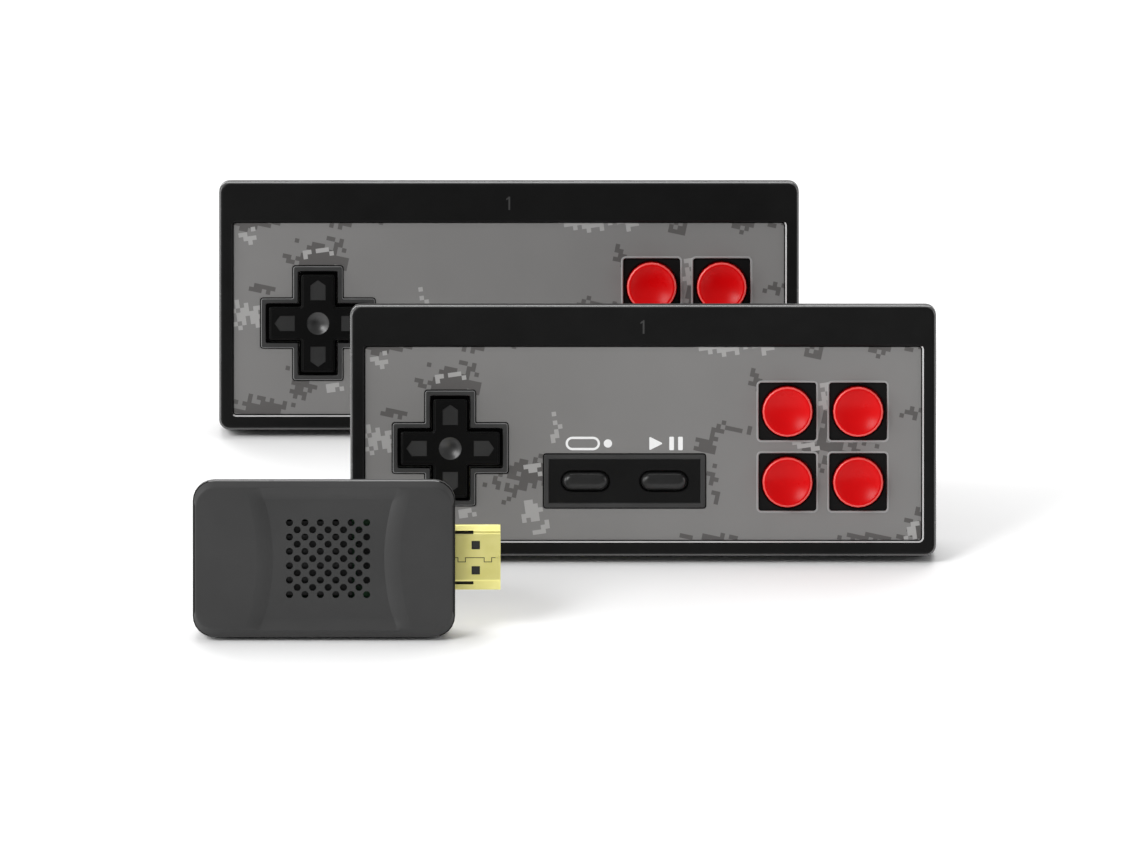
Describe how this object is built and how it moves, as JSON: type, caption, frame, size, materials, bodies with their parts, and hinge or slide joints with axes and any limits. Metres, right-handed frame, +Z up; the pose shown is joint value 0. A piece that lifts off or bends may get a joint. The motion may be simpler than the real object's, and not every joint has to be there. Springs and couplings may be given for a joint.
{
  "type": "game console with controller",
  "caption": "Television game stick with a gold video plug, and wireless controllers with a cross pad, red action buttons and menu keys on a pixel-pattern faceplate.",
  "frame": {"origin": "middle of the set's footprint, on the surface that the items stand on", "axes": "+X to the user's right, +Y away from the user, +Z up; the faces point to -Y and lean back by 15 degrees"},
  "size_m": [0.1594, 0.1712, 0.0542],
  "materials": {
    "pad_case": "fine moulded grain, satin",
    "pad_faceplate": "printed film, satin",
    "dpad_plastic": "satin moulded plastic",
    "hub_plastic": "moulded plastic",
    "menu_rubber": "soft matt rubber",
    "membrane_rubber": "silicone rubber",
    "red_plastic": "glossy moulded plastic",
    "circuit_board": "solder mask on glass laminate",
    "chip_plastic": "moulded epoxy",
    "cell_sleeve": "printed film sleeve",
    "contact_steel": "nickel plate",
    "switch_plastic": "moulded plastic",
    "stick_case": "soft matt moulded plastic",
    "black_aluminium": "anodised",
    "plug_gold": "gold plate",
    "insulator_plastic": "moulded plastic",
    "port_steel": "pressed steel",
    "card_plastic": "smooth moulded plastic"
  },
  "bodies": {
    "front_pad_case": {"front_pad_front_shell": "pad_case", "front_pad_back_shell": "pad_case", "front_pad_faceplate": "pad_faceplate", "front_pad_dpad_membrane": "membrane_rubber", "front_pad_menu_membrane": "membrane_rubber", "front_pad_action_membrane": "membrane_rubber", "front_pad_circuit_board": "circuit_board", "front_pad_board_parts": "chip_plastic", "front_pad_battery_cells": "cell_sleeve", "front_pad_battery_contacts": "contact_steel", "front_pad_case_screws": "contact_steel"},
    "front_pad_dpad_hub_body": {"front_pad_dpad_hub": "hub_plastic"},
    "front_pad_dpad_body": {"front_pad_dpad": "dpad_plastic"},
    "front_pad_button_top_left_body": {"front_pad_button_top_left": "red_plastic"},
    "front_pad_button_top_right_body": {"front_pad_button_top_right": "red_plastic"},
    "front_pad_button_bottom_left_body": {"front_pad_button_bottom_left": "red_plastic"},
    "front_pad_button_bottom_right_body": {"front_pad_button_bottom_right": "red_plastic"},
    "front_pad_select_button_body": {"front_pad_select_button": "menu_rubber"},
    "front_pad_start_button_body": {"front_pad_start_button": "menu_rubber"},
    "front_pad_battery_door_body": {"front_pad_battery_door": "pad_case"},
    "front_pad_power_switch_body": {"front_pad_power_switch": "switch_plastic"},
    "rear_pad_case": {"rear_pad_front_shell": "pad_case", "rear_pad_back_shell": "pad_case", "rear_pad_faceplate": "pad_faceplate", "rear_pad_dpad_membrane": "membrane_rubber", "rear_pad_menu_membrane": "membrane_rubber", "rear_pad_action_membrane": "membrane_rubber", "rear_pad_circuit_board": "circuit_board", "rear_pad_board_parts": "chip_plastic", "rear_pad_battery_cells": "cell_sleeve", "rear_pad_battery_contacts": "contact_steel", "rear_pad_case_screws": "contact_steel"},
    "rear_pad_dpad_hub_body": {"rear_pad_dpad_hub": "hub_plastic"},
    "rear_pad_dpad_body": {"rear_pad_dpad": "dpad_plastic"},
    "rear_pad_button_top_left_body": {"rear_pad_button_top_left": "red_plastic"},
    "rear_pad_button_top_right_body": {"rear_pad_button_top_right": "red_plastic"},
    "rear_pad_button_bottom_left_body": {"rear_pad_button_bottom_left": "red_plastic"},
    "rear_pad_button_bottom_right_body": {"rear_pad_button_bottom_right": "red_plastic"},
    "rear_pad_select_button_body": {"rear_pad_select_button": "menu_rubber"},
    "rear_pad_start_button_body": {"rear_pad_start_button": "menu_rubber"},
    "rear_pad_battery_door_body": {"rear_pad_battery_door": "pad_case"},
    "rear_pad_power_switch_body": {"rear_pad_power_switch": "switch_plastic"},
    "stick_case": {"stick_top_cover": "stick_case", "stick_bottom_cover": "stick_case", "stick_circuit_board": "circuit_board", "stick_board_parts": "chip_plastic", "stick_heat_spreader": "black_aluminium", "stick_video_plug_shell": "plug_gold", "stick_video_plug_insulator": "insulator_plastic", "stick_video_plug_contacts": "plug_gold", "stick_power_port": "port_steel", "stick_power_port_tongue": "insulator_plastic", "stick_card_slot": "port_steel"},
    "stick_memory_card_body": {"stick_memory_card": "card_plastic"}
  },
  "joints": [
    {"name": "rear_pad_lift", "type": "slide", "parent": "front_pad_case", "child": "rear_pad_case", "axis": [0, 0, 1], "range_m": [0, 0.06]},
    {"name": "stick_lift", "type": "slide", "parent": "front_pad_case", "child": "stick_case", "axis": [0, 0, 1], "range_m": [0, 0.06]},
    {"name": "front_pad_dpad_up_down", "type": "hinge", "parent": "front_pad_case", "child": "front_pad_dpad_hub_body", "pos_m": [-0.0248, -0.02146, 0.02307], "axis": [1, 0, 0], "range_deg": [-4, 4], "stiffness_Nm_per_rad": 0.05},
    {"name": "front_pad_dpad_left_right", "type": "hinge", "parent": "front_pad_dpad_hub_body", "child": "front_pad_dpad_body", "pos_m": [-0.0248, -0.02146, 0.02307], "axis": [0, 0.2588, 0.9659], "range_deg": [-4, 4], "stiffness_Nm_per_rad": 0.05},
    {"name": "front_pad_button_top_left_press", "type": "slide", "parent": "front_pad_case", "child": "front_pad_button_top_left_body", "axis": [0, 0.9659, -0.2588], "range_m": [0, 0.0015], "stiffness_N_per_m": 600, "springref_m": -0.0003},
    {"name": "front_pad_button_top_right_press", "type": "slide", "parent": "front_pad_case", "child": "front_pad_button_top_right_body", "axis": [0, 0.9659, -0.2588], "range_m": [0, 0.0015], "stiffness_N_per_m": 600, "springref_m": -0.0003},
    {"name": "front_pad_button_bottom_left_press", "type": "slide", "parent": "front_pad_case", "child": "front_pad_button_bottom_left_body", "axis": [0, 0.9659, -0.2588], "range_m": [0, 0.0015], "stiffness_N_per_m": 600, "springref_m": -0.0003},
    {"name": "front_pad_button_bottom_right_press", "type": "slide", "parent": "front_pad_case", "child": "front_pad_button_bottom_right_body", "axis": [0, 0.9659, -0.2588], "range_m": [0, 0.0015], "stiffness_N_per_m": 600, "springref_m": -0.0003},
    {"name": "front_pad_select_button_press", "type": "slide", "parent": "front_pad_case", "child": "front_pad_select_button_body", "axis": [0, 0.9659, -0.2588], "range_m": [0, 0.001], "stiffness_N_per_m": 600, "springref_m": -0.0003},
    {"name": "front_pad_start_button_press", "type": "slide", "parent": "front_pad_case", "child": "front_pad_start_button_body", "axis": [0, 0.9659, -0.2588], "range_m": [0, 0.001], "stiffness_N_per_m": 600, "springref_m": -0.0003},
    {"name": "front_pad_battery_door_slide", "type": "slide", "parent": "front_pad_case", "child": "front_pad_battery_door_body", "axis": [0, 0.2588, 0.9659], "range_m": [0, 0.014]},
    {"name": "front_pad_power_switch_slide", "type": "slide", "parent": "front_pad_case", "child": "front_pad_power_switch_body", "axis": [1, 0, 0], "range_m": [0, 0.0032]},
    {"name": "rear_pad_dpad_up_down", "type": "hinge", "parent": "rear_pad_case", "child": "rear_pad_dpad_hub_body", "pos_m": [-0.0538, 0.06624, 0.02307], "axis": [1, 0, 0], "range_deg": [-4, 4], "stiffness_Nm_per_rad": 0.05},
    {"name": "rear_pad_dpad_left_right", "type": "hinge", "parent": "rear_pad_dpad_hub_body", "child": "rear_pad_dpad_body", "pos_m": [-0.0538, 0.06624, 0.02307], "axis": [0, 0.2588, 0.9659], "range_deg": [-4, 4], "stiffness_Nm_per_rad": 0.05},
    {"name": "rear_pad_button_top_left_press", "type": "slide", "parent": "rear_pad_case", "child": "rear_pad_button_top_left_body", "axis": [0, 0.9659, -0.2588], "range_m": [0, 0.0015], "stiffness_N_per_m": 600, "springref_m": -0.0003},
    {"name": "rear_pad_button_top_right_press", "type": "slide", "parent": "rear_pad_case", "child": "rear_pad_button_top_right_body", "axis": [0, 0.9659, -0.2588], "range_m": [0, 0.0015], "stiffness_N_per_m": 600, "springref_m": -0.0003},
    {"name": "rear_pad_button_bottom_left_press", "type": "slide", "parent": "rear_pad_case", "child": "rear_pad_button_bottom_left_body", "axis": [0, 0.9659, -0.2588], "range_m": [0, 0.0015], "stiffness_N_per_m": 600, "springref_m": -0.0003},
    {"name": "rear_pad_button_bottom_right_press", "type": "slide", "parent": "rear_pad_case", "child": "rear_pad_button_bottom_right_body", "axis": [0, 0.9659, -0.2588], "range_m": [0, 0.0015], "stiffness_N_per_m": 600, "springref_m": -0.0003},
    {"name": "rear_pad_select_button_press", "type": "slide", "parent": "rear_pad_case", "child": "rear_pad_select_button_body", "axis": [0, 0.9659, -0.2588], "range_m": [0, 0.001], "stiffness_N_per_m": 600, "springref_m": -0.0003},
    {"name": "rear_pad_start_button_press", "type": "slide", "parent": "rear_pad_case", "child": "rear_pad_start_button_body", "axis": [0, 0.9659, -0.2588], "range_m": [0, 0.001], "stiffness_N_per_m": 600, "springref_m": -0.0003},
    {"name": "rear_pad_battery_door_slide", "type": "slide", "parent": "rear_pad_case", "child": "rear_pad_battery_door_body", "axis": [0, 0.2588, 0.9659], "range_m": [0, 0.014]},
    {"name": "rear_pad_power_switch_slide", "type": "slide", "parent": "rear_pad_case", "child": "rear_pad_power_switch_body", "axis": [1, 0, 0], "range_m": [0, 0.0032]},
    {"name": "stick_memory_card_slide", "type": "slide", "parent": "stick_case", "child": "stick_memory_card_body", "axis": [-1, 0, 0], "range_m": [0, 0.012]}
  ]
}
